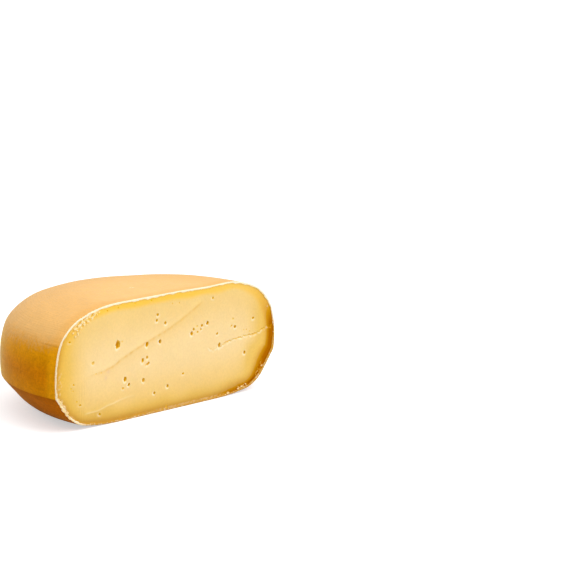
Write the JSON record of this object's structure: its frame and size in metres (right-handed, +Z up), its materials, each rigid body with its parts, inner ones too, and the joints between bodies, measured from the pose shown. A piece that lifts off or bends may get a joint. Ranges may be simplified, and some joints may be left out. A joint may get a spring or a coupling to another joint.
{
  "type": "gouda half wheel",
  "caption": "Half wheel of semi-hard yellow cheese, lying flat, with a smooth amber rind and an upright cut face that shows small eyes and a split.",
  "frame": {"origin": "under the middle of the half wheel's box, on the surface that it stands on", "axes": "+Z up; the cut face is the flat side and faces -Y; +X runs along the cut face, to the right of someone who faces it"},
  "size_m": [0.259, 0.1365, 0.0953],
  "materials": {
    "paste": "smooth, slightly waxy cut cheese",
    "rind": "thin amber cheese coating with a soft sheen and a faint cloth imprint"
  },
  "bodies": {
    "root": {"half_wheel": "paste"}
  },
  "joints": []
}
